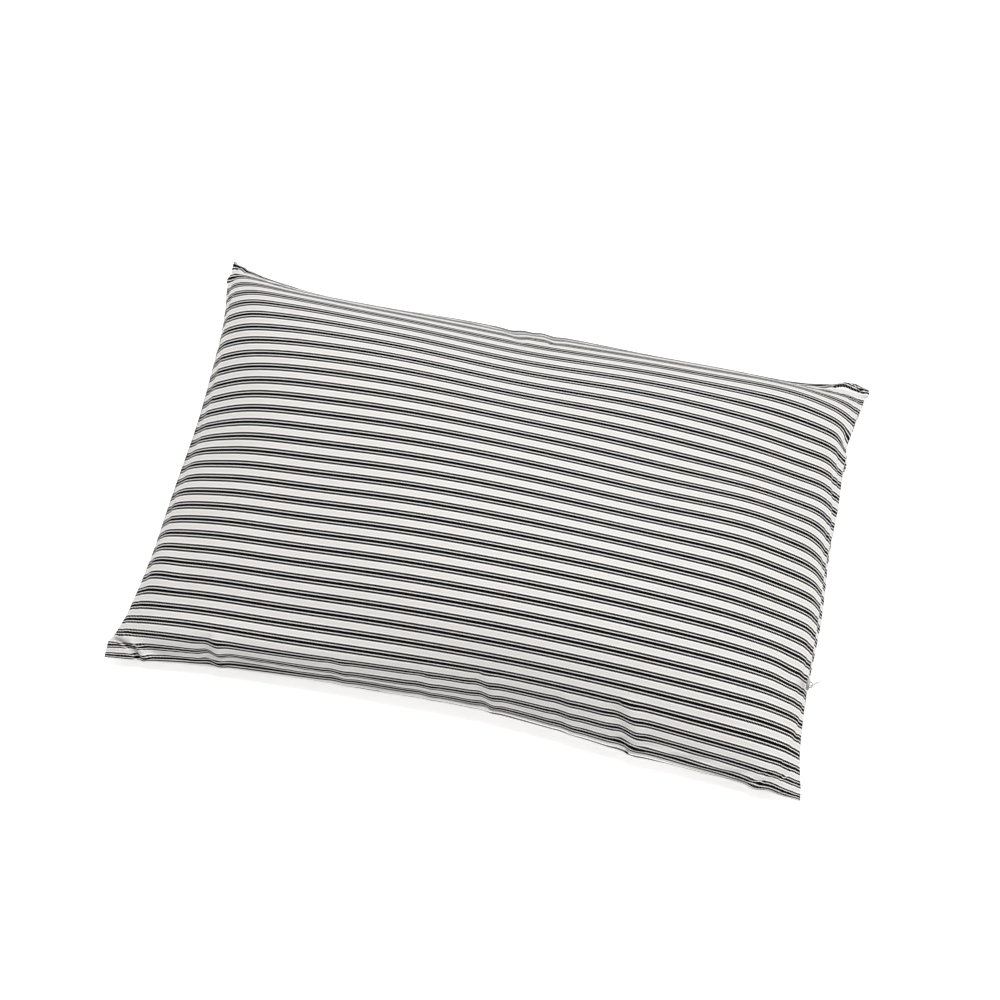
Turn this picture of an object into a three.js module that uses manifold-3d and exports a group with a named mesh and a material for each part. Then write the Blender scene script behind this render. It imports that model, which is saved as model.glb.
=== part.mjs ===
// A rectangular knife-edge pillow of striped cotton ticking, filled with buckwheat hulls.
// It lies on its back. Millimetres, +Z up. +X runs along the stripes and the long seams,
// +Y points to the far long seam, and the origin is in the middle of the flat resting face.

import * as THREE from 'three';
import { mergeVertices } from 'three/addons/utils/BufferGeometryUtils.js';
import Module from 'manifold-3d';

// Front and back panel, flat, from seam to seam
const PANEL_LENGTH = 518;
const PANEL_WIDTH = 352;

// Height of the seam above the surface at the four ears and at the middle of each side
const SEAM = {
  nearLeft: 8,
  nearRight: 14,
  farLeft: 8,
  farRight: 8,
  nearMiddle: 26,
  farMiddle: 28,
  leftMiddle: 26,
  rightMiddle: 26,
  archPower: 2.2,
};

// The crown rises from the seams to a broad top, a little beyond the middle.
// A larger fullness holds the top flat for longer and rounds it off later.
const CROWN = {
  rise: 48.5,
  topAcross: 0.09,
  fullnessLeft: 4.6,
  fullnessRight: 3.4,
  fullnessNear: 3.05,
  fullnessFar: 2.95,
};

// Where the hulls lie thicker or thinner: a row for each swell (+) or hollow (-).
// Places and reaches are shares of half the panel's length and width, rises are millimetres.
const SWELLS = [
  { along: -1.06, across: 0.08, reachAlong: 0.19, reachAcross: 0.35, rise: -23 },
  { along: -0.62, across: -0.25, reachAlong: 0.35, reachAcross: 0.65, rise: -15.5 },
  { along: -0.9, across: -0.85, reachAlong: 0.68, reachAcross: 0.1, rise: 14 },
  { along: -0.87, across: 0.78, reachAlong: 0.24, reachAcross: 0.2, rise: 9 },
  { along: 0, across: 0.63, reachAlong: 0.33, reachAcross: 0.43, rise: -8 },
  { along: 0.09, across: -0.62, reachAlong: 0.27, reachAcross: 0.24, rise: 5 },
  { along: 0.6, across: 0.19, reachAlong: 0.41, reachAcross: 0.37, rise: -17.5 },
  { along: 0.77, across: 0.09, reachAlong: 0.32, reachAcross: 0.25, rise: 15 },
  { along: 0.85, across: 0.8, reachAlong: 0.23, reachAcross: 0.16, rise: 14.5 },
  { along: 0.92, across: -0.95, reachAlong: 0.19, reachAcross: 0.43, rise: 17 },
];

// The panels were sewn a little out of square: how far the middle lines bow at the seams
const BOW_OF_ENDS = -4;
const BOW_OF_SIDES = 6;

// The underside lies flat and rolls up to the seam over this distance
const UNDERSIDE_ROLL = 36;

// Facets along and across each panel, and how much closer they stand at the seams
const CELLS_ALONG = 54;
const CELLS_ACROSS = 40;
const EDGE_CROWDING = 0.45;
const STEPS_PER_CELL = 5;
// Least ground that cloth covers on its steepest slope, as a share squared
const STEEPEST_COVER = 0.001;
// Points closer than this are one point when solids are joined
const MERGE_DISTANCE = 1e-4;

// Zip slider, at the closed end of the zip in the right-hand seam
const SLIDER = {
  across: -0.5,
  seamGap: 0.3,
  length: 7.5,
  width: 4.6,
  noseWidth: 2.8,
  shoulder: 0.2,
  thickness: 2.2,
  bevel: 0.4,
};
const BAIL = {
  span: 4.6,
  height: 2.1,
  kneeSpan: 0.42,
  kneeHeight: 0.6,
  wire: 0.8,
  sides: 8,
  steps: 12,
  sink: 0.4,
};

// Teardrop pull, hung on the bail by its eye
const PULL = {
  length: 9,
  width: 3.6,
  eyeWidth: 2.6,
  thickness: 0.8,
  holeLength: 6.4,
  holeWidth: 2,
  holeBehindBail: 1.05,
  eyeBulge: 0.7,
  endBulge: 0.17,
  lift: THREE.MathUtils.degToRad(38),
  lean: THREE.MathUtils.degToRad(30),
};

const wasm = await Module();
wasm.setup();

const halfLength = PANEL_LENGTH / 2;
const halfWidth = PANEL_WIDTH / 2;

// Along one side the seam arches from corner height to corner height over its middle height
function seamHeight(place, start, end, middle) {
  const straight = start + ((end - start) * (place + 1)) / 2;
  const arch = 1 - Math.abs(place) ** SEAM.archPower;
  return straight + (middle - (start + end) / 2) * arch;
}

// Height of a film stretched over the four seams, for places from -1 to 1
function seamFilm(along, across) {
  const near = seamHeight(along, SEAM.nearLeft, SEAM.nearRight, SEAM.nearMiddle);
  const far = seamHeight(along, SEAM.farLeft, SEAM.farRight, SEAM.farMiddle);
  const left = seamHeight(across, SEAM.nearLeft, SEAM.farLeft, SEAM.leftMiddle);
  const right = seamHeight(across, SEAM.nearRight, SEAM.farRight, SEAM.rightMiddle);
  const toFar = (1 + across) / 2;
  const toRight = (1 + along) / 2;
  const sides = near * (1 - toFar) + far * toFar + left * (1 - toRight) + right * toRight;
  const nearCorners = SEAM.nearLeft * (1 - toRight) + SEAM.nearRight * toRight;
  const farCorners = SEAM.farLeft * (1 - toRight) + SEAM.farRight * toRight;
  return sides - nearCorners * (1 - toFar) - farCorners * toFar;
}

// Share of the crown's rise, 1 at the top and 0 at the two seams
function crownShare(place, top, fullnessBefore, fullnessAfter) {
  if (place < top) return 1 - ((top - place) / (1 + top)) ** fullnessBefore;
  return 1 - ((place - top) / (1 - top)) ** fullnessAfter;
}

// Height of the front panel over the surface
function frontHeight(along, across) {
  const shareAlong = crownShare(along, 0, CROWN.fullnessLeft, CROWN.fullnessRight);
  const shareAcross = crownShare(across, CROWN.topAcross, CROWN.fullnessNear, CROWN.fullnessFar);
  const share = Math.max(shareAlong * shareAcross, 0);
  let height = seamFilm(along, across) + CROWN.rise * share;
  for (const swell of SWELLS) {
    const awayAlong = (along - swell.along) / swell.reachAlong;
    const awayAcross = (across - swell.across) / swell.reachAcross;
    height += swell.rise * Math.sqrt(share) * Math.exp(-(awayAlong ** 2) - awayAcross ** 2);
  }
  return height;
}

// Places of the grid lines from -1 to 1, closer together at the seams
function gridPlaces(cells) {
  const places = [];
  for (let i = 0; i <= cells; i += 1) {
    const even = -1 + (2 * i) / cells;
    const crowded = Math.sin((even * Math.PI) / 2);
    places.push(even + (crowded - even) * EDGE_CROWDING);
  }
  return places;
}

// Cloth doesn't stretch, so where it slopes it covers less ground. This walks a thread from
// the middle of the panel to each place and adds up the ground that it covers.
function groundCovered(places, halfSize, heightAt) {
  const total = places.map(() => 0);
  const middle = Math.floor(places.length / 2);
  const walk = (from, to) => {
    const step = (places[to] - places[from]) / STEPS_PER_CELL;
    let covered = 0;
    for (let k = 0; k < STEPS_PER_CELL; k += 1) {
      const start = places[from] + k * step;
      const slope = (heightAt(start + step) - heightAt(start)) / (step * halfSize);
      covered += step * halfSize * Math.sqrt(Math.max(1 - slope * slope, STEEPEST_COVER));
    }
    total[to] = total[from] + covered;
  };
  for (let i = middle; i < places.length - 1; i += 1) walk(i, i + 1);
  for (let i = middle; i > 0; i -= 1) walk(i, i - 1);
  return total;
}

// The front panel as rows of points, and the underside straight below them
function pillowGrid() {
  const alongs = gridPlaces(CELLS_ALONG);
  const acrosses = gridPlaces(CELLS_ACROSS);
  const reachX = acrosses.map((t) => groundCovered(alongs, halfLength, (s) => frontHeight(s, t)));
  const reachY = alongs.map((s) => groundCovered(acrosses, halfWidth, (t) => frontHeight(s, t)));
  const front = alongs.map((s, i) => acrosses.map((t, j) => new THREE.Vector3(
    reachX[j][i] + BOW_OF_ENDS * t * t,
    reachY[i][j] + BOW_OF_SIDES * s * s,
    frontHeight(s, t),
  )));
  const under = front.map((column, i) => column.map((point, j) => {
    const insets = [
      point.x - front[0][j].x,
      front[CELLS_ALONG][j].x - point.x,
      point.y - column[0].y,
      column[CELLS_ACROSS].y - point.y,
    ];
    // each seam within reach pulls the underside up along a quarter of an ellipse
    let lie = 1;
    for (const inset of insets) {
      const closeness = Math.max(1 - inset / UNDERSIDE_ROLL, 0);
      lie *= Math.sqrt(1 - closeness * closeness);
    }
    const height = seamFilm(alongs[i], acrosses[j]) * (1 - lie);
    return new THREE.Vector3(point.x, point.y, height);
  }));
  return { front, under };
}

// Moves the grid so that the origin is under the middle of the pillow's box
function centreGrid({ front, under }) {
  const box = new THREE.Box3().setFromPoints(front.flat());
  const middle = box.getCenter(new THREE.Vector3());
  for (const point of [...front.flat(), ...under.flat()]) {
    point.x -= middle.x;
    point.y -= middle.y;
  }
}

// One closed body: the front panel's facets, the underside's, and the seam they share
function pillowGeometry({ front, under }) {
  const positions = [];
  const index = [];
  const numberOf = new Map();
  const vertex = (sheet, i, j) => {
    const onSeam = i === 0 || j === 0 || i === CELLS_ALONG || j === CELLS_ACROSS;
    const key = `${onSeam ? 'seam' : sheet} ${i} ${j}`;
    if (!numberOf.has(key)) {
      const point = (sheet === 'under' && !onSeam ? under : front)[i][j];
      numberOf.set(key, positions.length / 3);
      positions.push(point.x, point.y, point.z);
    }
    return numberOf.get(key);
  };
  for (let i = 0; i < CELLS_ALONG; i += 1) {
    for (let j = 0; j < CELLS_ACROSS; j += 1) {
      // the diagonals turn so that no corner facet has all three points on the seam
      const rising = (i < CELLS_ALONG / 2) === (j < CELLS_ACROSS / 2);
      for (const sheet of ['front', 'under']) {
        const a = vertex(sheet, i, j);
        const b = vertex(sheet, i + 1, j);
        const c = vertex(sheet, i + 1, j + 1);
        const d = vertex(sheet, i, j + 1);
        const facets = rising ? [[a, b, c], [a, c, d]] : [[a, b, d], [b, c, d]];
        for (const [p, q, r] of facets) index.push(...(sheet === 'front' ? [p, q, r] : [p, r, q]));
      }
    }
  }
  const geometry = new THREE.BufferGeometry();
  geometry.setAttribute('position', new THREE.Float32BufferAttribute(positions, 3));
  geometry.setIndex(index);
  geometry.computeVertexNormals();
  return geometry;
}

// A closed three.js geometry as a solid that can be joined
function solidOf(geometry) {
  const bare = geometry.clone();
  bare.deleteAttribute('normal');
  bare.deleteAttribute('uv');
  const merged = mergeVertices(bare, MERGE_DISTANCE);
  return new wasm.Manifold(new wasm.Mesh({
    numProp: 3,
    vertProperties: new Float32Array(merged.attributes.position.array),
    triVerts: new Uint32Array(merged.index.array),
  }));
}

function geometryOf(solid) {
  const mesh = solid.getMesh();
  const geometry = new THREE.BufferGeometry();
  geometry.setAttribute('position', new THREE.BufferAttribute(mesh.vertProperties, 3));
  geometry.setIndex(new THREE.BufferAttribute(mesh.triVerts, 1));
  geometry.computeVertexNormals();
  return geometry;
}

// The slider in its own frame: x out of the seam, y along the seam, z up the seam's side
function sliderGeometry() {
  const halfWide = SLIDER.width / 2 - SLIDER.bevel;
  const halfNose = SLIDER.noseWidth / 2 - SLIDER.bevel;
  const halfLong = SLIDER.length / 2 - SLIDER.bevel;
  const outline = new THREE.Shape();
  outline.moveTo(-halfLong, -halfNose);
  outline.lineTo(-halfLong * SLIDER.shoulder, -halfWide);
  outline.lineTo(halfLong, -halfWide);
  outline.lineTo(halfLong, halfWide);
  outline.lineTo(-halfLong * SLIDER.shoulder, halfWide);
  outline.lineTo(-halfLong, halfNose);
  outline.closePath();
  const body = new THREE.ExtrudeGeometry(outline, {
    depth: SLIDER.thickness - 2 * SLIDER.bevel,
    bevelThickness: SLIDER.bevel,
    bevelSize: SLIDER.bevel,
    bevelSegments: 2,
  });
  // the outline's x runs along the seam, its y up the side, and its depth out of the seam
  body.applyMatrix4(new THREE.Matrix4().makeBasis(
    new THREE.Vector3(0, 1, 0),
    new THREE.Vector3(0, 0, 1),
    new THREE.Vector3(1, 0, 0),
  ));
  body.translate(SLIDER.seamGap + SLIDER.bevel, 0, 0);

  const outside = SLIDER.seamGap + SLIDER.thickness;
  const foot = outside - BAIL.sink;
  const arch = new THREE.CatmullRomCurve3([
    new THREE.Vector3(foot, -BAIL.span / 2, 0),
    new THREE.Vector3(outside + BAIL.height * BAIL.kneeHeight, -BAIL.span * BAIL.kneeSpan, 0),
    new THREE.Vector3(outside + BAIL.height, 0, 0),
    new THREE.Vector3(outside + BAIL.height * BAIL.kneeHeight, BAIL.span * BAIL.kneeSpan, 0),
    new THREE.Vector3(foot, BAIL.span / 2, 0),
  ]);
  const section = new THREE.Shape();
  section.absarc(0, 0, BAIL.wire / 2, 0, Math.PI * 2);
  const bail = new THREE.ExtrudeGeometry(section, {
    extrudePath: arch,
    steps: BAIL.steps,
    curveSegments: BAIL.sides,
  });
  return geometryOf(solidOf(body).add(solidOf(bail)));
}

// The pull in its own frame: it hangs from the origin along +x, flat in the x-z plane
function pullGeometry() {
  const rim = (PULL.width - PULL.holeWidth) / 2;
  const eye = -PULL.holeBehindBail - rim;
  const tip = PULL.length + eye;
  // the hole runs round the other way than the rim, so its turn is -1
  const teardrop = (path, turn, start, end, startWidth, endWidth) => {
    const wide = (turn * endWidth) / 2;
    const narrow = turn * startWidth * PULL.eyeBulge;
    const round = end - endWidth / 2;
    const past = end + endWidth * PULL.endBulge;
    const middle = (start + end) / 2;
    path.moveTo(start, 0);
    path.bezierCurveTo(start, narrow, middle, wide, round, wide);
    path.bezierCurveTo(past, wide, past, -wide, round, -wide);
    path.bezierCurveTo(middle, -wide, start, -narrow, start, 0);
  };
  const outline = new THREE.Shape();
  teardrop(outline, 1, eye, tip, PULL.eyeWidth, PULL.width);
  const hole = new THREE.Path();
  teardrop(hole, -1, eye + rim, eye + rim + PULL.holeLength, PULL.eyeWidth - rim, PULL.holeWidth);
  outline.holes.push(hole);
  const geometry = new THREE.ExtrudeGeometry(outline, {
    depth: PULL.thickness,
    bevelEnabled: false,
    curveSegments: 8,
  });
  geometry.translate(0, 0, -PULL.thickness / 2);
  geometry.rotateX(Math.PI / 2);
  return geometry;
}

// The zip group stands on the seam: x out, y along the seam, z completes the frame
function zipGroup({ front }, sliderMesh, pullMesh) {
  const seam = front[CELLS_ALONG];
  const acrosses = gridPlaces(CELLS_ACROSS);
  const next = acrosses.findIndex((place) => place > SLIDER.across);
  const before = seam[next - 1];
  const after = seam[next];
  const share = (SLIDER.across - acrosses[next - 1]) / (acrosses[next] - acrosses[next - 1]);
  const alongSeam = after.clone().sub(before).normalize();
  const up = new THREE.Vector3(0, 0, 1);
  const out = alongSeam.clone().cross(up).normalize();
  const side = out.clone().cross(alongSeam);
  const group = new THREE.Group();
  group.quaternion.setFromRotationMatrix(new THREE.Matrix4().makeBasis(out, alongSeam, side));
  group.position.copy(before.clone().lerp(after, share));

  const hanger = new THREE.Group();
  const bailInside = SLIDER.seamGap + SLIDER.thickness + BAIL.height;
  hanger.position.set(bailInside, 0, 0);
  hanger.rotation.set(0, -PULL.lift, PULL.lean, 'ZYX');
  hanger.add(pullMesh);
  group.add(sliderMesh, hanger);
  return group;
}

function makeMesh(name, geometry, finish) {
  const mesh = new THREE.Mesh(geometry, new THREE.MeshStandardMaterial(finish));
  mesh.name = name;
  return mesh;
}

const TICKING = { color: 0xe6e1dc, roughness: 0.92, metalness: 0 };
const GREY_METAL = { color: 0x8e8e90, roughness: 0.42, metalness: 0.7 };
const PALE_ENAMEL = { color: 0xdfdfdd, roughness: 0.38, metalness: 0.1 };

const grid = pillowGrid();
centreGrid(grid);

const pillow = new THREE.Group();
pillow.add(makeMesh('pillow', pillowGeometry(grid), TICKING));
pillow.add(zipGroup(
  grid,
  makeMesh('zip_slider', sliderGeometry(), GREY_METAL),
  makeMesh('zip_pull', pullGeometry(), PALE_ENAMEL),
));

export default pillow;
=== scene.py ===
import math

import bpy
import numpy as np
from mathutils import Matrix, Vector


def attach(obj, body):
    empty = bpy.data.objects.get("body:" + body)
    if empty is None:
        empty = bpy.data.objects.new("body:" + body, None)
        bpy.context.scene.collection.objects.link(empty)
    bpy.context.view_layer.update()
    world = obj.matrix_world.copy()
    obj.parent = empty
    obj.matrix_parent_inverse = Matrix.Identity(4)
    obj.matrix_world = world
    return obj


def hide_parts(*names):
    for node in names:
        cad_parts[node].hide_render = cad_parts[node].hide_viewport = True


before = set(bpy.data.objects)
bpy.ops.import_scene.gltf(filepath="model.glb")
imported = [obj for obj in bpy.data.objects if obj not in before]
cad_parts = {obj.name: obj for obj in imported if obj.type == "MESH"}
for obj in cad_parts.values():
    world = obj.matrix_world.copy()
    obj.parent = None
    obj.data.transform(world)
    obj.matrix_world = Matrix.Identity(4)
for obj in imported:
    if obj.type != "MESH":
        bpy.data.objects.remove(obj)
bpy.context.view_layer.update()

# The looks of a rectangular knife-edge pillow of striped cotton ticking.
# Sizes are millimetres in the frame of the CAD, and meshes are made in metres.
# A place on a panel is a pair of shares from -1 to 1: along the stripes, from the left
# to the right, and across them, from the near long seam to the far one.

MILLIMETRE = 0.001
# Keeps a division by a length off zero
TINY = 1e-6

# The form, with the same named sizes as the solid

PANEL_LENGTH = 518
PANEL_WIDTH = 352

# Height of the seam above the surface at the four ears and at the middle of each side
SEAM_NEAR_LEFT = 8
SEAM_NEAR_RIGHT = 14
SEAM_FAR_LEFT = 8
SEAM_FAR_RIGHT = 8
SEAM_NEAR_MIDDLE = 26
SEAM_FAR_MIDDLE = 28
SEAM_LEFT_MIDDLE = 26
SEAM_RIGHT_MIDDLE = 26
SEAM_ARCH_POWER = 2.2

# The crown over the film of the seams: its rise, its top's place, and how full it is
# from the top down to each seam
CROWN_RISE = 48.5
CROWN_TOP_ALONG = 0
CROWN_TOP_ACROSS = 0.09
FULLNESS_LEFT = 4.6
FULLNESS_RIGHT = 3.4
FULLNESS_NEAR = 3.05
FULLNESS_FAR = 2.95

# Where the hulls lie thicker or thinner:
# place along, place across, reach along, reach across, rise
SWELLS = [
    (-1.06, 0.08, 0.19, 0.35, -23),
    (-0.62, -0.25, 0.35, 0.65, -15.5),
    (-0.9, -0.85, 0.68, 0.1, 14),
    (-0.87, 0.78, 0.24, 0.2, 9),
    (0, 0.63, 0.33, 0.43, -8),
    (0.09, -0.62, 0.27, 0.24, 5),
    (0.6, 0.19, 0.41, 0.37, -17.5),
    (0.77, 0.09, 0.32, 0.25, 15),
    (0.85, 0.8, 0.23, 0.16, 14.5),
    (0.92, -0.95, 0.19, 0.43, 17),
]

# How far the panels' middle lines bow at the seams
BOW_OF_ENDS = -4
BOW_OF_SIDES = 6

# The underside lies flat and rolls up to the seam over this distance.
# Each side's pair of powers says how full the roll is: (2, 2) is a quarter of an ellipse.
UNDERSIDE_ROLL = 36
ROLL_OF_LEFT = (2, 2)
ROLL_OF_RIGHT = (2, 2)
ROLL_OF_NEAR = (1.6, 1)
ROLL_OF_FAR = (2, 2)

# Facets of each panel along and across, and how much closer they stand at the seams
CLOTH_CELLS = (300, 210)
SIMULATED_CELLS = (110, 76)
EDGE_CROWDING = 0.75
# Steps in which a thread is walked over each facet
STEPS_PER_CELL = 3
# Least ground that cloth covers on its steepest slope, as a share squared
STEEPEST_COVER = 0.001

# The turned seam pulls the last few millimetres of both panels inward
TUCK_DEPTH = 0.8
TUCK_WIDTH = 2.4

# The seam allowance inside makes a narrow lip. It carries the seam outward by this much,
# and runs out towards the ears by this power of the place.
LIP_LEFT = 1
LIP_RIGHT = 1
LIP_NEAR = 2
LIP_FAR = 2
LIP_WIDTH = 5
LIP_RUN_OUT = 8

# Where the cloth is pulled from the plain form. Places are millimetres of cloth from the
# near left ear: the middle along and across, the shift right, far and up, and how far
# along and across the pull reaches.
PULLS = [
    ((0, 0), (-1.8, 5, 6), (40, 20)),
    ((518, 0), (0.5, 0.5, 4), (35, 15)),
    ((0, 352), (5.8, 0.5, 0), (35, 25)),
    ((518, 352), (0.2, -3.3, 0), (35, 25)),
    ((518, 352), (1.2, -2.6, 0), (9, 8)),
    ((475, 190), (0, 0, -3), (28, 110)),
    ((500, 80), (0, 0, -2), (16, 50)),
    ((470, 28), (0, -1.5, -1), (90, 15)),
    ((500, 320), (0, -1.5, 0), (25, 25)),
    ((30, 320), (0, 0, 4), (25, 60)),
    ((18, 170), (0, 0, 4), (18, 40)),
    ((15, 75), (0, 0, 4), (15, 25)),
    ((0, 12), (-2, 0, 0), (12, 12)),
    ((0, 30), (-2.2, 0, 0), (10, 9)),
    ((150, 352), (0, 1.5, 2), (100, 14)),
    ((477, 352), (0, -2.4, -1), (32, 20)),
    ((243, 352), (0, -2.4, 0), (24, 18)),
    ((518, 312), (2, 0, 0), (20, 22)),
    ((518, 248), (-2.5, 0, 0), (20, 25)),
    ((518, 150), (1.8, 0, 0), (20, 55)),
    ((518, 38), (-2.2, 0, 0), (20, 22)),
    ((518, 215), (0, 0, -10), (13, 75)),
    ((508, 195), (0, 0, -3), (12, 22)),
    ((500, 90), (0, 0, -3.5), (12, 16)),
    ((518, 45), (1.2, 0, 0), (8, 40)),
    ((518, 240), (1.6, 0, 0), (8, 22)),
    ((518, 330), (1.4, 0, 0), (8, 28)),
    ((518, 80), (0, 0, -10), (9, 60)),
    ((508, 190), (1.2, 0, 0), (7, 110)),
    ((517, 291), (-2.2, -2.8, -4), (8, 8)),
    ((515, 268), (-1, -1.2, -1.5), (9, 8)),
    ((0, 240), (-2, 0, 0), (25, 85)),
    ((0, 240), (-0.6, 0, -12), (6, 80)),
    ((0, 110), (-1.4, 0, 0), (22, 60)),
    ((0, 110), (-0.3, 0, -9), (6, 60)),
    ((185, 22), (0, 1.1, 0), (85, 5)),
    ((185, 12), (0, -1.1, 0), (85, 5)),
    ((0, 325), (-0.5, 0, -6), (8, 25)),
    ((494, 6), (0, 1.5, 1), (8, 6)),
    ((0, 352), (0.8, 3, 0), (9, 9)),
    ((14, 352), (0, -2.2, -1), (8, 9)),
    ((34, 352), (0, -3, 0), (16, 12)),
    ((55, 0), (0, 1.7, 1), (30, 9)),
    ((395, 0), (0, -0.8, -0.6), (14, 8)),
    ((497, 0), (0, -1.5, -1), (8, 8)),
    ((0, 32), (-2.2, 0, 0), (12, 22)),
    ((0, 17), (-2, 0.6, 0), (9, 5)),
]
# Where the weave is dragged towards the near side: the place, how far, and its reach
DRAGS = [
    ((330, 120), 1.7, (300, 150)),
    ((300, 0), -1, (300, 25)),
    ((518, 325), 4, (14, 45)),
    ((518, 200), 2, (10, 70)),
    ((519, 294), 3, (9, 10)),
    ((518, 272), 1, (9, 9)),
    ((498, 352), -3, (10, 9)),
    ((5, 4), 2, (28, 12)),
    ((5, 13), 1.5, (16, 7)),
]
# How far the underside's wall stands out below the seam: the place along the seam from its
# near or left end, how far, and the reach along the seam
WALLS_OF_RIGHT = [
    (150, 5.8, 72),
    (278, 5.5, 14),
]
WALLS_OF_NEAR = [
    (200, 3.5, 60),
    (300, 4, 60),
    (400, 5, 55),
]
WALL_REACH = 7
# The underside follows a pull or a fold of the front only this near to the seam
PULL_UNDERNEATH = 15
FOLD_UNDERNEATH = 6

# Folds and creases of the cloth. Each is a line through places in millimetres of cloth
# from the near left ear, its half width, how far the cloth stands out on the line's left
# and on its right, and how far it leans over to the right.
FOLDS = [
    ([(80, 0), (79, 12), (76, 26)], 5, -1.6, 2, 0),
    ([(174, 0), (172, 16), (170, 24)], 5, -0.5, 0.6, 0),
    ([(238, 0), (236, 14), (235, 22)], 5, -0.5, 0.5, 0),
    ([(284, 5), (282, 12), (276, 30)], 4.5, -1, 1.2, 0),
    ([(344, 0), (339, 14), (335, 28)], 5, -0.6, 0.6, 0),
    ([(388, 5), (386, 16), (379, 32)], 6, -1.9, 2.4, 0),
    ([(489, 0), (496, 12), (499, 22)], 7, 2.7, -1.9, 0),
    ([(7, 20), (13, 17), (22, 11), (28, 2)], 3, 2.3, -2.7, 1.2),
    ([(0, 338), (5, 342), (11, 352)], 2.5, -1.5, 1.6, -1.5),
    ([(498, 346), (506, 344), (515, 340)], 4, 2.8, -1.5, 0),
    ([(243, 352), (247, 334), (251, 322)], 5, 0.6, -0.8, 0),
    ([(268, 352), (268, 336), (270, 326)], 5, -0.8, 0.8, 0),
]
# A fold rises out of the cloth over this much past each of its ends
FOLD_RUN_IN = 10
# Where between its line and its left rise a fold leans over most, as a share of its width
FOLD_LEAN_PLACE = 0.5

# The cloth simulation. The seam shrinks a little and the pillow is under slight pressure,
# while the cloth is held to its form, less near the seams. Only its puckers are kept.
SIMULATED_FRAMES = 16
SIMULATION_QUALITY = 5
CLOTH_MASS = 0.3
CLOTH_TENSION = 12
CLOTH_SHEAR = 3
CLOTH_BENDING = 0.2
INNER_PRESSURE = 1
SEAM_SHRINK = 0.03
SHRINK_REACH = 6
HOLD_STIFFNESS = 2
HOLD_AT_SEAM = 0.15
HOLD_REACH = 35
HOLD_POWER = 1.5
# What varies over less than this reach along a seam is a pucker, and the rest is drift.
# Near an ear the drift is worked out along both seams, softened by this many millimetres.
DRIFT_REACH = 30
EAR_SOFTENING = 1
# How much of the puckers' moves is kept, and the most that a point may move
PUCKER_GAIN = 0.7
PUCKER_CAP = 2

# Ticking: a thick line between two thin ones, repeated over the panel, in millimetres
STRIPE_PITCH = 11.5
FIRST_STRIPE = 5.3
THICK_LINE = 2.2
THIN_LINE = 1.5
THIN_LINE_OFFSET = 2.5
LINE_BLUR = 0.04
# The underside's stripes lie this much nearer, and more so beside the near seam
BACK_STRIPE_SHIFT = 2.7
BACK_SHIFT_AT_NEAR_SEAM = 9.6
BACK_SHIFT_REACH = 20
# The weave breaks the black lines into slanted dashes, and frays them by its yarns.
# From a gap's middle to its own, a dash starts at the first share and is full at the second.
DASH_PITCH = 2.2
DASH_LEAN = 0.89
DASH_EDGE = (0.15, 0.4)
DASH_GAP = 0.13
EDGE_SCALLOP = 0.12
YARN = 0.5
YARN_FRAY = 0.06
YARN_DETAIL = 1
# White warp beside the lines, and slanted ribs on the cream ground
WHITE_BAND = 4.2
WHITE_BAND_BLUR = 0.5
RIB_PITCH = 1.5
RIB_LEAN = -0.9
# Uneven colour of the ground: noise that is stretched along the threads, and wide patches
STREAK_STRETCH = (0.09, 1.6, 1)
STREAK_SCALE = 0.7
PATCH_SCALE = 0.03
SHADE_DETAIL = 3
# How far the ribs, yarns, streaks and patches shade the cream
RIB_SHADE = 0.05
YARN_SHADE = 0.05
STREAK_SHADE = 0.09
PATCH_SHADE = 0.05
# Flecks in the cotton, on those cells of a random pattern that draw a high number
FLECK_SPACING = 34
FLECK_RADIUS = 0.45
FLECK_SHADE = 0.45
FLECK_DRAW = (0.6, 0.7)
# Relief of the weave: its depth, and each layer's share of it
WEAVE_DEPTH = 0.16
WEAVE_STRENGTH = 0.8
YARN_RELIEF = 0.6
RIB_RELIEF = 0.5
LINE_RELIEF = 0.4
# Matt cotton, a little rougher along the streaks
COTTON_ROUGHNESS = 0.82
STREAK_ROUGHNESS = 0.12
COTTON_SHEEN = 0.015
SHEEN_ROUGHNESS = 0.6
COTTON_SPECULAR = 0.05

CREAM = (0.78, 0.75, 0.725, 1)
SHADED_CREAM = (0.62, 0.585, 0.55, 1)
WHITE = (0.95, 0.93, 0.915, 1)
BLACK = (0.003, 0.0018, 0.0024, 1)

# Finish of the zip slider and its pull: the colours, fresh and worn, and the scale of a
# fine grain. Wear comes in spots this many times wider, where their noise is high.
SLIDER_GREY = (0.3, 0.3, 0.31, 1)
SLIDER_WORN = (0.45, 0.45, 0.46, 1)
PULL_PALE = (0.8, 0.8, 0.79, 1)
PULL_WORN = (0.6, 0.6, 0.6, 1)
SLIDER_GRAIN = 900
PULL_GRAIN = 700
SLIDER_ROUGHNESS = 0.35
PULL_ROUGHNESS = 0.3
SLIDER_METALLIC = 0.6
PULL_METALLIC = 0.1
WEAR_WIDTH = 5
WEAR_DRAW = (0.55, 0.75)
GRAIN_DETAIL = 4
WEAR_DETAIL = 3
GRAIN_NOISE = 0.6
GRAIN_ROUGHNESS = 0.25
GRAIN_DEPTH = 0.05
GRAIN_STRENGTH = 0.4

# The photograph's viewpoint
CAMERA_AZIMUTH = 11.8
CAMERA_ELEVATION = 66.3
CAMERA_DISTANCE = 1820
CAMERA_AIM = (-1.5, 16.2, 9.9)
CAMERA_LENS = 86.4
CAMERA_SENSOR = 36

# Studio light: an even sky, soft square lamps and a glowing floor.
# Each lamp has its place and size in metres and its power in watts.
SKY_STRENGTH = 0.25
LAMPS = [
    ("top", (0, 0.1, 2), 0.6, 20.5),
    ("left", (-0.9, 0.7, 1.3), 1, 7),
    ("right", (1.3, 0, 1.1), 1, 8.8),
]
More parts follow.
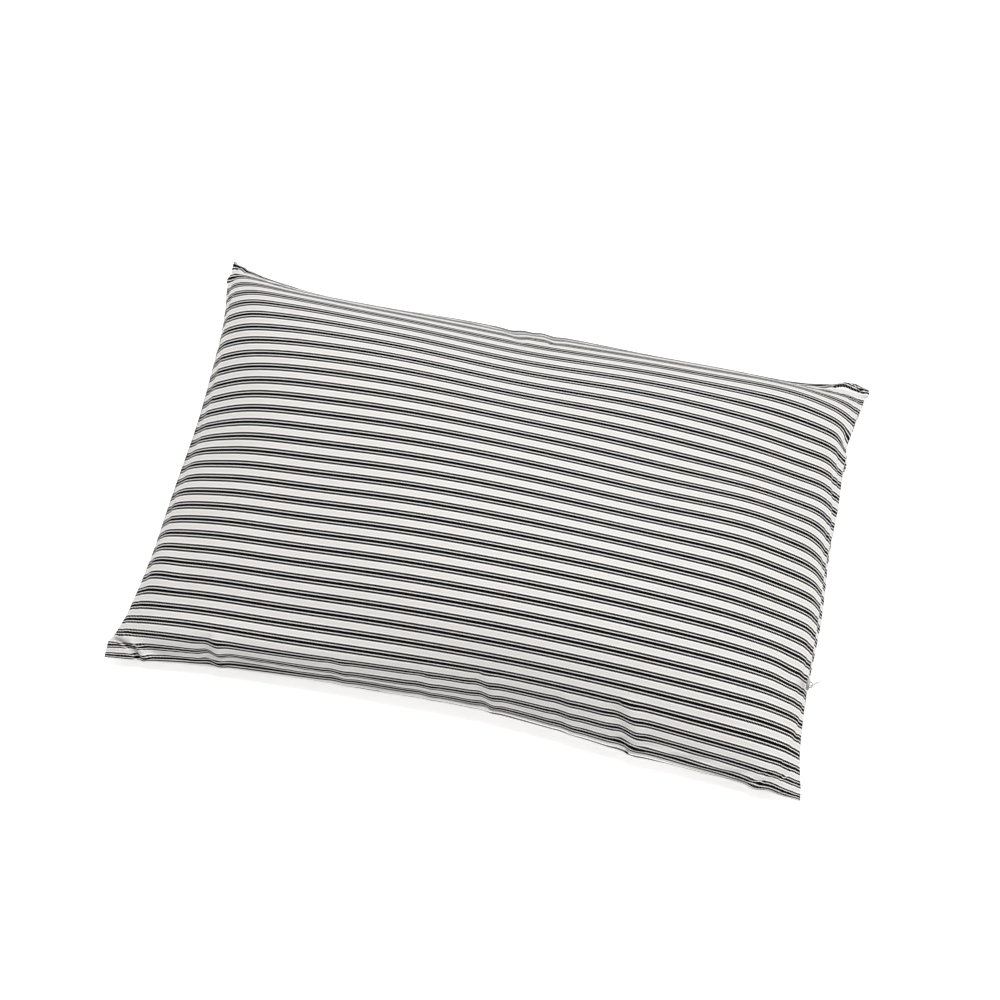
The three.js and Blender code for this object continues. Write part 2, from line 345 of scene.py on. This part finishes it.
# The floor reaches this far each way, a hair below the pillow
FLOOR_REACH = 4000
FLOOR_GAP = 0.3
FLOOR_PALE = (0.9, 0.9, 0.9, 1)
FLOOR_ROUGHNESS = 0.9
FLOOR_GLOW = 0.54
PURE_WHITE = (1, 1, 1, 1)


def bell(distance, reach=1):
    """1 where the distance is 0, falling smoothly towards 0 past the reach."""
    return np.exp(-((distance / reach) ** 2))


def oval(along, across, middle, reach):
    """1 at the middle of an oval, falling smoothly towards 0 past its two reaches."""
    away_along = (along - middle[0]) / reach[0]
    away_across = (across - middle[1]) / reach[1]
    return np.exp(-away_along**2 - away_across**2)


def seam_height(place, start, end, middle):
    """Along one side the seam arches from corner to corner over its middle height."""
    straight = start + (end - start) * (place + 1) / 2
    arch = 1 - np.abs(place) ** SEAM_ARCH_POWER
    return straight + (middle - (start + end) / 2) * arch


def seam_film(along, across):
    """Height of a film stretched over the four seams."""
    near = seam_height(along, SEAM_NEAR_LEFT, SEAM_NEAR_RIGHT, SEAM_NEAR_MIDDLE)
    far = seam_height(along, SEAM_FAR_LEFT, SEAM_FAR_RIGHT, SEAM_FAR_MIDDLE)
    left = seam_height(across, SEAM_NEAR_LEFT, SEAM_FAR_LEFT, SEAM_LEFT_MIDDLE)
    right = seam_height(across, SEAM_NEAR_RIGHT, SEAM_FAR_RIGHT, SEAM_RIGHT_MIDDLE)
    to_far = (1 + across) / 2
    to_right = (1 + along) / 2
    sides = near * (1 - to_far) + far * to_far + left * (1 - to_right) + right * to_right
    near_corners = SEAM_NEAR_LEFT * (1 - to_right) + SEAM_NEAR_RIGHT * to_right
    far_corners = SEAM_FAR_LEFT * (1 - to_right) + SEAM_FAR_RIGHT * to_right
    return sides - near_corners * (1 - to_far) - far_corners * to_far


def crown_share(place, top, fullness_before, fullness_after):
    """Share of the crown's rise, 1 at the top and 0 at the two seams."""
    before = 1 - (np.maximum(top - place, 0) / (1 + top)) ** fullness_before
    after = 1 - (np.maximum(place - top, 0) / (1 - top)) ** fullness_after
    return np.where(place < top, before, after)


def front_height(along, across):
    """Height of the front panel over the surface."""
    share_along = crown_share(along, CROWN_TOP_ALONG, FULLNESS_LEFT, FULLNESS_RIGHT)
    share_across = crown_share(across, CROWN_TOP_ACROSS, FULLNESS_NEAR, FULLNESS_FAR)
    share = np.maximum(share_along * share_across, 0)
    height = seam_film(along, across) + CROWN_RISE * share
    for middle_along, middle_across, reach_along, reach_across, rise in SWELLS:
        middle = (middle_along, middle_across)
        reach = (reach_along, reach_across)
        height = height + rise * np.sqrt(share) * oval(along, across, middle, reach)
    return height


def grid_places(cells):
    """Places of the grid lines from -1 to 1, closer together at the seams."""
    even = np.linspace(-1, 1, cells + 1)
    return even + (np.sin(even * math.pi / 2) - even) * EDGE_CROWDING


def finer(places):
    """The same places with more between them, for walking a thread."""
    steps = np.arange(len(places) * STEPS_PER_CELL - STEPS_PER_CELL + 1) / STEPS_PER_CELL
    return np.interp(steps, np.arange(len(places)), places)


def ground_covered(lengths, heights):
    """Ground that threads along the first axis cover, measured from the panel's middle."""
    run = np.diff(lengths)[:, None]
    slope = np.diff(heights, axis=0) / run
    steps = run * np.sqrt(np.maximum(1 - slope**2, STEEPEST_COVER))
    total = np.concatenate([np.zeros((1, heights.shape[1])), np.cumsum(steps, axis=0)])
    middle = [np.interp(0, lengths, column) for column in total.T]
    return (total - middle)[::STEPS_PER_CELL]


def front_points(alongs, acrosses):
    """The front panel's points before any folds, in millimetres."""
    fine = finer(alongs)
    reach_x = ground_covered(fine * PANEL_LENGTH / 2, front_height(fine[:, None], acrosses))
    fine = finer(acrosses)
    reach_y = ground_covered(fine * PANEL_WIDTH / 2, front_height(alongs, fine[:, None])).T
    along = alongs[:, None]
    across = acrosses[None, :]
    x = reach_x + BOW_OF_ENDS * across**2
    y = reach_y + BOW_OF_SIDES * along**2
    return np.stack([x, y, front_height(along, across)], axis=-1)


def back_points(front, alongs, acrosses):
    """The underside straight below the front, rolled up to the seam at each side."""
    x = front[..., 0]
    y = front[..., 1]
    insets = [
        (x - x[:1], ROLL_OF_LEFT),
        (x[-1:] - x, ROLL_OF_RIGHT),
        (y - y[:, :1], ROLL_OF_NEAR),
        (y[:, -1:] - y, ROLL_OF_FAR),
    ]
    lie = 1
    for inset, (rise, settle) in insets:
        closeness = np.maximum(1 - inset / UNDERSIDE_ROLL, 0)
        lie = lie * np.maximum(1 - closeness**rise, 0) ** (1 / settle)
    height = seam_film(alongs[:, None], acrosses[None, :]) * (1 - lie)
    return np.stack([x, y, height], axis=-1)


def seam_distances(alongs, acrosses):
    """Millimetres of cloth from each grid point to the left, right, near and far seam."""
    along = alongs[:, None] + 0 * acrosses[None, :]
    across = acrosses[None, :] + 0 * alongs[:, None]
    left = (along + 1) * PANEL_LENGTH / 2
    near = (across + 1) * PANEL_WIDTH / 2
    return left, PANEL_LENGTH - left, near, PANEL_WIDTH - near


def seam_distance(alongs, acrosses):
    """Millimetres of cloth from each grid point to the nearest seam."""
    return np.minimum.reduce(seam_distances(alongs, acrosses))


def lips_and_pulls(points, alongs, acrosses):
    """Carries the seams outward along their lips, and pulls the cloth where it is strained."""
    left, right, near, far = seam_distances(alongs, acrosses)
    moved = points.copy()
    off_long_seams = 1 - np.abs(acrosses[None, :]) ** LIP_RUN_OUT
    off_short_seams = 1 - np.abs(alongs[:, None]) ** LIP_RUN_OUT
    outward_x = LIP_RIGHT * bell(right, LIP_WIDTH) - LIP_LEFT * bell(left, LIP_WIDTH)
    outward_y = LIP_FAR * bell(far, LIP_WIDTH) - LIP_NEAR * bell(near, LIP_WIDTH)
    moved[..., 0] += outward_x * off_long_seams
    moved[..., 1] += outward_y * off_short_seams
    for middle, shift, reach in PULLS:
        moved += oval(left, near, middle, reach)[..., None] * np.array(shift)
    return moved


def line_offsets(line, left, near):
    """Where cloth places lie from a line of straight stretches.

    Gives the distance from it, positive on its left, the run along it, the direction to
    its right, and the length of the whole line.
    """
    best = np.full(left.shape, np.inf)
    offset = np.zeros(left.shape)
    run = np.zeros(left.shape)
    side = np.zeros(left.shape + (2,))
    walked = 0
    for (from_along, from_across), (to_along, to_across) in zip(line, line[1:]):
        step_along = to_along - from_along
        step_across = to_across - from_across
        length = math.hypot(step_along, step_across)
        step_along /= length
        step_across /= length
        ahead = (left - from_along) * step_along + (near - from_across) * step_across
        aside = (near - from_across) * step_along - (left - from_along) * step_across
        beyond = ahead - np.clip(ahead, 0, length)
        distance = np.hypot(aside, beyond)
        closer = distance < best
        best = np.where(closer, distance, best)
        offset = np.where(closer, np.where(aside < 0, -distance, distance), offset)
        run = np.where(closer, walked + ahead, run)
        side[closer] = (step_across, -step_along)
        walked += length
    return offset, run, side, walked


def folded(points, alongs, acrosses):
    """Raises the folds out of the cloth, along its own normals."""
    left, _, near, _ = seam_distances(alongs, acrosses)
    to_right = np.gradient(points, axis=0)
    to_far = np.gradient(points, axis=1)
    to_right /= np.linalg.norm(to_right, axis=-1, keepdims=True)
    to_far /= np.linalg.norm(to_far, axis=-1, keepdims=True)
    normal = np.cross(to_right, to_far)
    normal /= np.maximum(np.linalg.norm(normal, axis=-1, keepdims=True), TINY)
    moved = points.copy()
    for line, width, left_rise, right_rise, lean in FOLDS:
        offset, run, side, length = line_offsets(line, left, near)
        start = np.clip((run + FOLD_RUN_IN) / FOLD_RUN_IN, 0, 1)
        end = np.clip((length + FOLD_RUN_IN - run) / FOLD_RUN_IN, 0, 1)
        strength = (start * end) ** 2 * (3 - 2 * start * end)
        beside = offset / width
        rise = left_rise * bell(beside - 1) + right_rise * bell(beside + 1)
        moved += (rise * strength)[..., None] * normal
        leaning = lean * strength * bell(beside - FOLD_LEAN_PLACE)
        moved += (leaning * side[..., 0])[..., None] * to_right
        moved += (leaning * side[..., 1])[..., None] * to_far
    return moved


def tucked_in(distance):
    """How far the cloth is tucked in at a distance from a seam."""
    return TUCK_DEPTH * np.maximum(1 - distance / TUCK_WIDTH, 0) ** 2


def tuck(points, alongs, acrosses):
    """Pulls the cloth beside the seams inward, where it is turned and sewn."""
    left, right, near, far = seam_distances(alongs, acrosses)
    moved = points.copy()
    moved[..., 0] += tucked_in(left) - tucked_in(right)
    moved[..., 1] += tucked_in(near) - tucked_in(far)
    return moved


def bulge_walls(back, alongs, acrosses):
    """Lets the underside's wall stand out below the right and the near seam."""
    left, right, near, _ = seam_distances(alongs, acrosses)
    for walls, from_seam, along_seam, axis, outward in (
        (WALLS_OF_RIGHT, right, near, 0, 1),
        (WALLS_OF_NEAR, near, left, 1, -1),
    ):
        profile = np.maximum(1 - ((from_seam - WALL_REACH) / WALL_REACH) ** 2, 0)
        for middle, bulge, reach in walls:
            back[..., axis] += outward * bulge * profile * bell(along_seam - middle, reach)


def plain_panels(cells):
    """Front and back panel before the cloth is simulated."""
    alongs = grid_places(cells[0])
    acrosses = grid_places(cells[1])
    front = front_points(alongs, acrosses)
    low = front[..., :2].min(axis=(0, 1))
    high = front[..., :2].max(axis=(0, 1))
    front[..., :2] -= (low + high) / 2
    back = back_points(front, alongs, acrosses)
    bulge_walls(back, alongs, acrosses)
    front = lips_and_pulls(front, alongs, acrosses)
    pulled = lips_and_pulls(back, alongs, acrosses)
    follows = bell(seam_distance(alongs, acrosses), PULL_UNDERNEATH)
    back += (pulled - back) * follows[..., None]
    back[..., 2] = np.maximum(back[..., 2], 0)
    return front, back


def flat_cloth(alongs, acrosses, faces_down):
    """Where each grid point lies in the flat cloth that carries the stripes."""
    left, _, near, _ = seam_distances(alongs, acrosses)
    lip = LIP_NEAR * (1 - bell(near, LIP_WIDTH))
    drag = 0
    for middle, distance, reach in DRAGS:
        drag = drag + distance * oval(left, near, middle, reach)
    if faces_down:
        drag = drag + BACK_STRIPE_SHIFT
        drag = drag + BACK_SHIFT_AT_NEAR_SEAM * bell(near, BACK_SHIFT_REACH)
    return np.stack([left, near + lip + drag], axis=-1)


def panel_mesh(name, points, alongs, acrosses, faces_down):
    """A panel as a grid of quads, with its flat cloth and its bake map as UV maps."""
    rows, columns = points.shape[:2]
    numbers = np.arange(rows * columns).reshape(rows, columns)
    corners = [numbers[:-1, :-1], numbers[1:, :-1], numbers[1:, 1:], numbers[:-1, 1:]]
    if faces_down:
        corners.reverse()
    quads = np.stack(corners, axis=-1).reshape(-1, 4)
    mesh = bpy.data.meshes.new(name)
    mesh.from_pydata((points.reshape(-1, 3) * MILLIMETRE).tolist(), [], quads.tolist())
    shares = np.meshgrid((alongs + 1) / 2, (acrosses + 1) / 2, indexing="ij")
    shares = np.stack(shares, axis=-1)
    flat = flat_cloth(alongs, acrosses, faces_down)
    for map_name, values in (("OFBake", shares), ("cloth", flat * MILLIMETRE)):
        layer = mesh.uv_layers.new(name=map_name)
        layer.data.foreach_set("uv", values.reshape(-1, 2)[quads.ravel()].ravel())
    mesh.polygons.foreach_set("use_smooth", [True] * len(quads))
    mesh.update()
    piece = bpy.data.objects.new(name, mesh)
    bpy.context.scene.collection.objects.link(piece)
    return piece


class Shader:
    """Adds nodes to one material. Numbers, colours and sockets are all given as inputs."""

    def __init__(self, name):
        self.material = bpy.data.materials.new(name)
        self.material.use_nodes = True
        self.nodes = self.material.node_tree.nodes
        self.links = self.material.node_tree.links
        self.surface = self.nodes["Principled BSDF"]

    def feed(self, socket, value):
        if isinstance(value, bpy.types.NodeSocket):
            self.links.new(value, socket)
        else:
            socket.default_value = value

    def add(self, kind, inputs, **settings):
        node = self.nodes.new(kind)
        for name, value in settings.items():
            setattr(node, name, value)
        for name, value in inputs.items():
            self.feed(node.inputs[name], value)
        return node

    def finish(self, name, value):
        self.feed(self.surface.inputs[name], value)

    def math(self, operation, *values):
        return self.add("ShaderNodeMath", dict(enumerate(values)), operation=operation).outputs[0]

    def ramp(self, value, start, end):
        """0 before start and 1 after end, smooth between them. start may be the larger."""
        low, high = sorted((start, end))
        bottom, top = (0, 1) if start < end else (1, 0)
        inputs = {"Value": value, "From Min": low, "From Max": high}
        inputs |= {"To Min": bottom, "To Max": top}
        node = self.add("ShaderNodeMapRange", inputs, interpolation_type="SMOOTHSTEP")
        return node.outputs["Result"]

    def mix(self, share, first, second):
        """The first colour at a share of 0 and the second at 1."""
        node = self.add("ShaderNodeMix", {}, data_type="RGBA")
        sockets = {socket.identifier: socket for socket in node.inputs}
        self.feed(sockets["Factor_Float"], share)
        self.feed(sockets["A_Color"], first)
        self.feed(sockets["B_Color"], second)
        return next(socket for socket in node.outputs if socket.identifier == "Result_Color")

    def scaled(self, vector, scale):
        inputs = {0: vector, 1: scale}
        return self.add("ShaderNodeVectorMath", inputs, operation="MULTIPLY").outputs["Vector"]

    def axes(self, vector):
        return self.add("ShaderNodeSeparateXYZ", {"Vector": vector}).outputs

    def relief(self, height, depth, strength):
        inputs = {"Height": height, "Distance": depth * MILLIMETRE, "Strength": strength}
        self.finish("Normal", self.add("ShaderNodeBump", inputs).outputs["Normal"])

    def noise(self, vector, scale, detail=2.0, roughness=0.5):
        inputs = {"Vector": vector, "Scale": scale, "Detail": detail, "Roughness": roughness}
        return self.add("ShaderNodeTexNoise", inputs).outputs["Fac"]


def ticking():
    """Woven cotton with its stripes, drawn in the flat cloth's own millimetres."""
    s = Shader("ticking")
    cloth = s.add("ShaderNodeUVMap", {}, uv_map="cloth").outputs["UV"]
    place = s.scaled(cloth, (1 / MILLIMETRE, 1 / MILLIMETRE, 0))
    axes = s.axes(place)
    along = axes["X"]
    across = axes["Y"]

    def slanted(pitch, lean):
        """0 to 1 and back over each pitch of a slanted rib."""
        phase = s.math("DIVIDE", s.math("MULTIPLY_ADD", across, lean, along), pitch)
        return s.math("MULTIPLY", s.math("PINGPONG", phase, 0.5), 2)

    def scalloped(distance):
        """The distance from a line, less where a dash widens it."""
        wider = s.math("ADD", distance, EDGE_SCALLOP / 2)
        return s.math("MULTIPLY_ADD", dash, -EDGE_SCALLOP, wider)

    def drawn(distance, width):
        """1 on a line of this width, and 0 beside it."""
        return s.ramp(distance, width / 2 + LINE_BLUR, width / 2 - LINE_BLUR)

    dash = s.ramp(slanted(DASH_PITCH, DASH_LEAN), *DASH_EDGE)
    rib = slanted(RIB_PITCH, RIB_LEAN)
    yarns = s.noise(place, 1 / YARN, YARN_DETAIL)
    fray = s.math("MULTIPLY_ADD", yarns, YARN_FRAY, -YARN_FRAY / 2)
    from_line = s.math("PINGPONG", s.math("SUBTRACT", across, FIRST_STRIPE), STRIPE_PITCH / 2)
    from_line = s.math("ADD", from_line, fray)
    thick = drawn(scalloped(from_line), THICK_LINE)
    from_thin = s.math("ABSOLUTE", s.math("SUBTRACT", from_line, THIN_LINE_OFFSET))
    thin = drawn(scalloped(from_thin), THIN_LINE)
    broken = s.math("MULTIPLY", thin, s.math("MULTIPLY_ADD", dash, DASH_GAP, 1 - DASH_GAP))
    line = s.math("MAXIMUM", thick, broken)

    streaks = s.noise(s.scaled(place, STREAK_STRETCH), STREAK_SCALE, SHADE_DETAIL)
    patches = s.noise(place, PATCH_SCALE, SHADE_DETAIL)
    shade = s.math("MULTIPLY", rib, RIB_SHADE)
    shade = s.math("MULTIPLY_ADD", streaks, STREAK_SHADE, shade)
    shade = s.math("MULTIPLY_ADD", patches, PATCH_SHADE, shade)
    shade = s.math("MULTIPLY_ADD", yarns, YARN_SHADE, shade)
    spots = s.add("ShaderNodeTexVoronoi", {"Vector": place, "Scale": 1 / FLECK_SPACING})
    near_spot = s.ramp(spots.outputs["Distance"], FLECK_RADIUS / FLECK_SPACING, 0)
    chosen = s.ramp(s.axes(spots.outputs["Color"])["X"], *FLECK_DRAW)
    fleck = s.math("MULTIPLY", s.math("MULTIPLY", near_spot, chosen), FLECK_SHADE)
    cream = s.mix(s.math("ADD", shade, fleck), CREAM, SHADED_CREAM)
    white = s.ramp(from_line, WHITE_BAND + WHITE_BAND_BLUR, WHITE_BAND - WHITE_BAND_BLUR)
    ground = s.mix(white, cream, WHITE)
    s.finish("Base Color", s.mix(line, ground, BLACK))

    height = s.math("MULTIPLY_ADD", yarns, YARN_RELIEF, s.math("MULTIPLY", rib, RIB_RELIEF))
    height = s.math("MULTIPLY_ADD", dash, s.math("MULTIPLY", line, LINE_RELIEF), height)
    s.relief(height, WEAVE_DEPTH, WEAVE_STRENGTH)
    roughness = s.math("MULTIPLY_ADD", streaks, STREAK_ROUGHNESS, COTTON_ROUGHNESS)
    s.finish("Roughness", roughness)
    s.finish("Sheen Weight", COTTON_SHEEN)
    s.finish("Sheen Roughness", SHEEN_ROUGHNESS)
    s.finish("Specular IOR Level", COTTON_SPECULAR)
    return s.material


def zip_finish(name, colour, worn_colour, metallic, roughness, grain_scale):
    """Painted or enamelled metal with a fine grain and a little wear in its colour."""
    s = Shader(name)
    place = s.add("ShaderNodeTexCoord", {}).outputs["Object"]
    grain = s.noise(place, grain_scale, GRAIN_DETAIL, GRAIN_NOISE)
    wear = s.ramp(s.noise(place, grain_scale / WEAR_WIDTH, WEAR_DETAIL), *WEAR_DRAW)
    s.finish("Base Color", s.mix(wear, colour, worn_colour))
    s.finish("Metallic", metallic)
    s.finish("Roughness", s.math("MULTIPLY_ADD", grain, GRAIN_ROUGHNESS, roughness))
    s.relief(grain, GRAIN_DEPTH, GRAIN_STRENGTH)
    return s.material


def floor_material():
    """A pale floor that glows a little, so that it shows white."""
    s = Shader("floor")
    s.finish("Base Color", FLOOR_PALE)
    s.finish("Roughness", FLOOR_ROUGHNESS)
    s.finish("Emission Color", PURE_WHITE)
    s.finish("Emission Strength", FLOOR_GLOW)
    return s.material


def area_light(name, place, size, watts):
    """A square lamp that shines at the middle of the floor."""
    data = bpy.data.lights.new(name, "AREA")
    data.shape = "SQUARE"
    data.size = size
    data.energy = watts
    lamp = bpy.data.objects.new(name, data)
    lamp.location = place
    lamp.rotation_euler = (-Vector(place)).to_track_quat("-Z", "Y").to_euler()
    bpy.context.scene.collection.objects.link(lamp)


def studio():
    """The sky, the lamps and the floor."""
    scene = bpy.context.scene
    scene.view_settings.view_transform = "Standard"
    world = bpy.data.worlds.new("studio")
    scene.world = world
    world.use_nodes = True
    background = world.node_tree.nodes["Background"]
    background.inputs["Color"].default_value = PURE_WHITE
    background.inputs["Strength"].default_value = SKY_STRENGTH
    for name, place, size, watts in LAMPS:
        area_light(name, place, size, watts)
    mesh = bpy.data.meshes.new("floor")
    reach = FLOOR_REACH * MILLIMETRE
    level = -FLOOR_GAP * MILLIMETRE
    ways = [(-1, -1), (1, -1), (1, 1), (-1, 1)]
    corners = [(right * reach, far * reach, level) for right, far in ways]
    mesh.from_pydata(corners, [], [(0, 1, 2, 3)])
    mesh.materials.append(floor_material())
    floor = bpy.data.objects.new("floor", mesh)
    scene.collection.objects.link(floor)


def camera():
    """The photograph's camera."""
    data = bpy.data.cameras.new("camera")
    data.lens = CAMERA_LENS
    data.sensor_width = CAMERA_SENSOR
    azimuth = math.radians(CAMERA_AZIMUTH)
    elevation = math.radians(CAMERA_ELEVATION)
    level = math.cos(elevation)
    back = Vector((math.sin(azimuth) * level, -math.cos(azimuth) * level, math.sin(elevation)))
    eye = bpy.data.objects.new("camera", data)
    eye.location = (Vector(CAMERA_AIM) + back * CAMERA_DISTANCE) * MILLIMETRE
    eye.rotation_euler = (-back).to_track_quat("-Z", "Y").to_euler()
    bpy.context.scene.collection.objects.link(eye)
    bpy.context.scene.camera = eye


def joined_sheets(front, back):
    """Both panels as one list of points and quads, with the seam's points shared."""
    rows, columns = front.shape[:2]
    numbers = np.arange(rows * columns).reshape(rows, columns)
    inside = np.zeros((rows, columns), bool)
    inside[1:-1, 1:-1] = True
    under = numbers.copy()
    under[inside] = rows * columns + np.arange(inside.sum())
    points = np.concatenate([front.reshape(-1, 3), back[inside]])
    quads = []
    for sheet, order in ((numbers, 1), (under, -1)):
        corners = [sheet[:-1, :-1], sheet[1:, :-1], sheet[1:, 1:], sheet[:-1, 1:]]
        quads.append(np.stack(corners[::order], axis=-1).reshape(-1, 4))
    return points, np.concatenate(quads), under


def on_both(values, under):
    """Values of one grid, given to the points of the front and of the back alike."""
    rows = values.reshape(under.size, -1)
    both = np.zeros((under.max() + 1, rows.shape[1]))
    both[: under.size] = rows
    both[under.ravel()] = rows
    return both


def add_group(body, name, weights):
    """A vertex group of the points that have a weight."""
    group = body.vertex_groups.new(name=name)
    for number in np.flatnonzero(weights):
        group.add([int(number)], float(weights[number]), "REPLACE")


def add_cloth(body, rest_shape):
    """The cloth simulation, with its pins and its shrinking seam."""
    cloth = body.modifiers.new("cloth", "CLOTH")
    settings = cloth.settings
    settings.quality = SIMULATION_QUALITY
    settings.mass = CLOTH_MASS
    settings.tension_stiffness = CLOTH_TENSION
    settings.compression_stiffness = CLOTH_TENSION
    settings.shear_stiffness = CLOTH_SHEAR
    settings.bending_stiffness = CLOTH_BENDING
    settings.vertex_group_mass = "pins"
    settings.pin_stiffness = HOLD_STIFFNESS
    settings.vertex_group_shrink = "shrinks"
    settings.shrink_min = 0
    settings.shrink_max = SEAM_SHRINK
    settings.rest_shape_key = rest_shape
    settings.use_pressure = True
    settings.uniform_pressure_force = INNER_PRESSURE
    settings.effector_weights.gravity = 0
    cloth.collision_settings.use_collision = False
    cloth.point_cache.frame_start = 1
    cloth.point_cache.frame_end = SIMULATED_FRAMES


def simulate():
    """How far a cloth simulation moves each grid point of the front and of the back."""
    front, back = plain_panels(SIMULATED_CELLS)
    alongs = grid_places(SIMULATED_CELLS[0])
    acrosses = grid_places(SIMULATED_CELLS[1])
    points, quads, under = joined_sheets(front, back)
    mesh = bpy.data.meshes.new("simulated")
    mesh.from_pydata((points * MILLIMETRE).tolist(), [], quads.tolist())
    body = bpy.data.objects.new("simulated", mesh)
    scene = bpy.context.scene
    scene.collection.objects.link(body)
    left, _, near, _ = seam_distances(alongs, acrosses)
    flat = on_both(np.stack([left, near, 0 * left], axis=-1), under)
    body.shape_key_add(name="Basis")
    rest_shape = body.shape_key_add(name="flat")
    rest_shape.data.foreach_set("co", (flat * MILLIMETRE).astype(np.float32).ravel())
    from_seam = seam_distance(alongs, acrosses)
    held = np.clip(from_seam / HOLD_REACH, 0, 1) ** HOLD_POWER
    hold = HOLD_AT_SEAM + (1 - HOLD_AT_SEAM) * held
    shrink = np.clip(1 - from_seam / SHRINK_REACH, 0, 1)
    add_group(body, "pins", on_both(hold, under)[:, 0])
    add_group(body, "shrinks", on_both(shrink, under)[:, 0])
    add_cloth(body, rest_shape)
    for number in range(1, SIMULATED_FRAMES + 1):
        scene.frame_set(number)
    evaluated = body.evaluated_get(bpy.context.evaluated_depsgraph_get())
    settled = np.zeros(points.size, np.float32)
    evaluated.data.vertices.foreach_get("co", settled)
    moves = settled.reshape(-1, 3) / MILLIMETRE - points
    bpy.data.objects.remove(body)
    scene.frame_set(1)
    both = []
    for sheet in (moves[: under.size].reshape(front.shape), moves[under]):
        sheet = puckers_only(sheet, alongs, acrosses) * PUCKER_GAIN
        length = np.linalg.norm(sheet, axis=-1, keepdims=True) / PUCKER_CAP
        both.append(sheet * np.tanh(length) / np.maximum(length, TINY))
    return both


def puckers_only(moves, alongs, acrosses):
    """Keeps what varies along the seams: the puckers, without the drift of a whole side."""
    left, right, near, far = seam_distances(alongs, acrosses)
    from_ends = np.minimum(left, right)
    from_sides = np.minimum(near, far)
    near_end = from_sides**2 + EAR_SOFTENING
    share = near_end / (from_ends**2 + EAR_SOFTENING + near_end)
    drifts = []
    for places, length in ((alongs, PANEL_LENGTH), (acrosses, PANEL_WIDTH)):
        apart = (places[:, None] - places[None, :]) * length / 2
        closeness = bell(apart, DRIFT_REACH) * np.gradient(places)[None, :]
        drifts.append(closeness / closeness.sum(axis=1, keepdims=True))
    drift_along = np.einsum("ij,jkc->ikc", drifts[0], moves)
    drift_across = np.einsum("ij,kjc->kic", drifts[1], moves)
    drift = drift_along * (1 - share[..., None]) + drift_across * share[..., None]
    return moves - drift


def spread(moves, alongs, acrosses):
    """Moves of the simulated grid, read at the finer grid's places."""
    coarse_alongs = grid_places(SIMULATED_CELLS[0])
    coarse_acrosses = grid_places(SIMULATED_CELLS[1])
    row = np.interp(alongs, coarse_alongs, np.arange(len(coarse_alongs)))
    column = np.interp(acrosses, coarse_acrosses, np.arange(len(coarse_acrosses)))
    low_row = np.minimum(row.astype(int), len(coarse_alongs) - 2)
    low_column = np.minimum(column.astype(int), len(coarse_acrosses) - 2)
    share_row = (row - low_row)[:, None, None]
    share_column = (column - low_column)[None, :, None]
    before = moves[low_row] * (1 - share_row) + moves[low_row + 1] * share_row
    return before[:, low_column] * (1 - share_column) + before[:, low_column + 1] * share_column


def panels():
    """Front and back panel, sewn together all round."""
    alongs = grid_places(CLOTH_CELLS[0])
    acrosses = grid_places(CLOTH_CELLS[1])
    front, back = plain_panels(CLOTH_CELLS)
    front_moves, back_moves = simulate()
    front = front + spread(front_moves, alongs, acrosses)
    back = back + spread(back_moves, alongs, acrosses)
    crease = folded(front, alongs, acrosses) - front
    front += crease
    back += crease * bell(seam_distance(alongs, acrosses), FOLD_UNDERNEATH)[..., None]
    front = tuck(front, alongs, acrosses)
    back = tuck(back, alongs, acrosses)
    back[..., 2] = np.maximum(back[..., 2], 0)
    return [
        panel_mesh("front_panel", front, alongs, acrosses, False),
        panel_mesh("back_panel", back, alongs, acrosses, True),
    ]


camera()
studio()
cotton = ticking()
for piece in panels():
    piece.data.materials.append(cotton)
    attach(piece, "root")
    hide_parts("pillow")

grey = zip_finish(
    "slider_metal", SLIDER_GREY, SLIDER_WORN, SLIDER_METALLIC, SLIDER_ROUGHNESS, SLIDER_GRAIN
)
pale = zip_finish("pull_enamel", PULL_PALE, PULL_WORN, PULL_METALLIC, PULL_ROUGHNESS, PULL_GRAIN)
for node, finish in (("zip_slider", grey), ("zip_pull", pale)):
    for material_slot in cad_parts[node].material_slots:
        material_slot.material = finish

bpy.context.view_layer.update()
